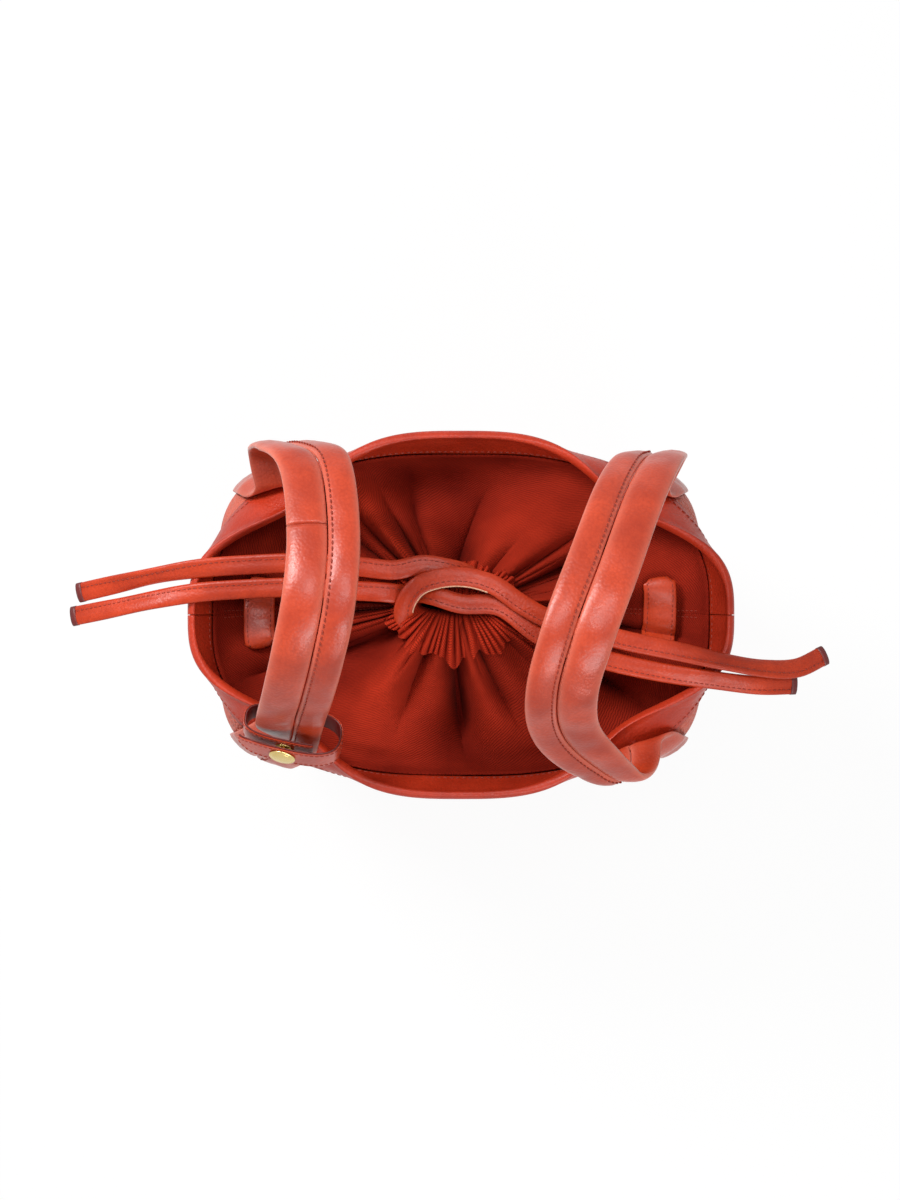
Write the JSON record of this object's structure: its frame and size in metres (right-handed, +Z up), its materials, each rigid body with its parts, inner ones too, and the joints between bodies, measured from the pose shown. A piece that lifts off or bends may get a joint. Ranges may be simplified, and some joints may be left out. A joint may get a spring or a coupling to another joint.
{
  "type": "tote bag",
  "caption": "Leather tote bag with a gathered cloth drawstring collar, paired leather drawstrings, short band handles and a press-stud strap.",
  "frame": {"origin": "centre of the base's underside", "axes": "+Z up, +X along the bag's width to the right, +Y towards the back"},
  "size_m": [0.4486, 0.2156, 0.3784],
  "materials": {
    "pebbled_leather": "pebbled, semi-matt",
    "smooth_leather": "smooth, burnished",
    "cord_leather": "smooth, satin",
    "twill": "woven twill",
    "brass": "polished"
  },
  "bodies": {
    "root": {"front_panel": "pebbled_leather", "back_panel": "pebbled_leather", "left_gusset": "pebbled_leather", "right_gusset": "pebbled_leather", "base_panel": "pebbled_leather", "front_rim_facing": "pebbled_leather", "back_rim_facing": "pebbled_leather", "front_lining": "twill", "back_lining": "twill", "left_lining": "twill", "right_lining": "twill", "base_lining": "twill", "front_collar": "twill", "back_collar": "twill", "left_cord_upper": "cord_leather", "left_cord_lower": "cord_leather", "right_cord_upper": "cord_leather", "right_cord_lower": "cord_leather", "left_keeper_tab": "smooth_leather", "right_keeper_tab": "smooth_leather", "left_handle_wide_back": "smooth_leather", "left_handle_wide_front": "smooth_leather", "left_handle_narrow": "smooth_leather", "right_handle_wide": "smooth_leather", "right_handle_narrow": "smooth_leather", "snap_strap": "smooth_leather", "snap_cap": "brass", "snap_socket": "brass", "snap_stud": "brass", "snap_post": "brass"}
  },
  "joints": []
}
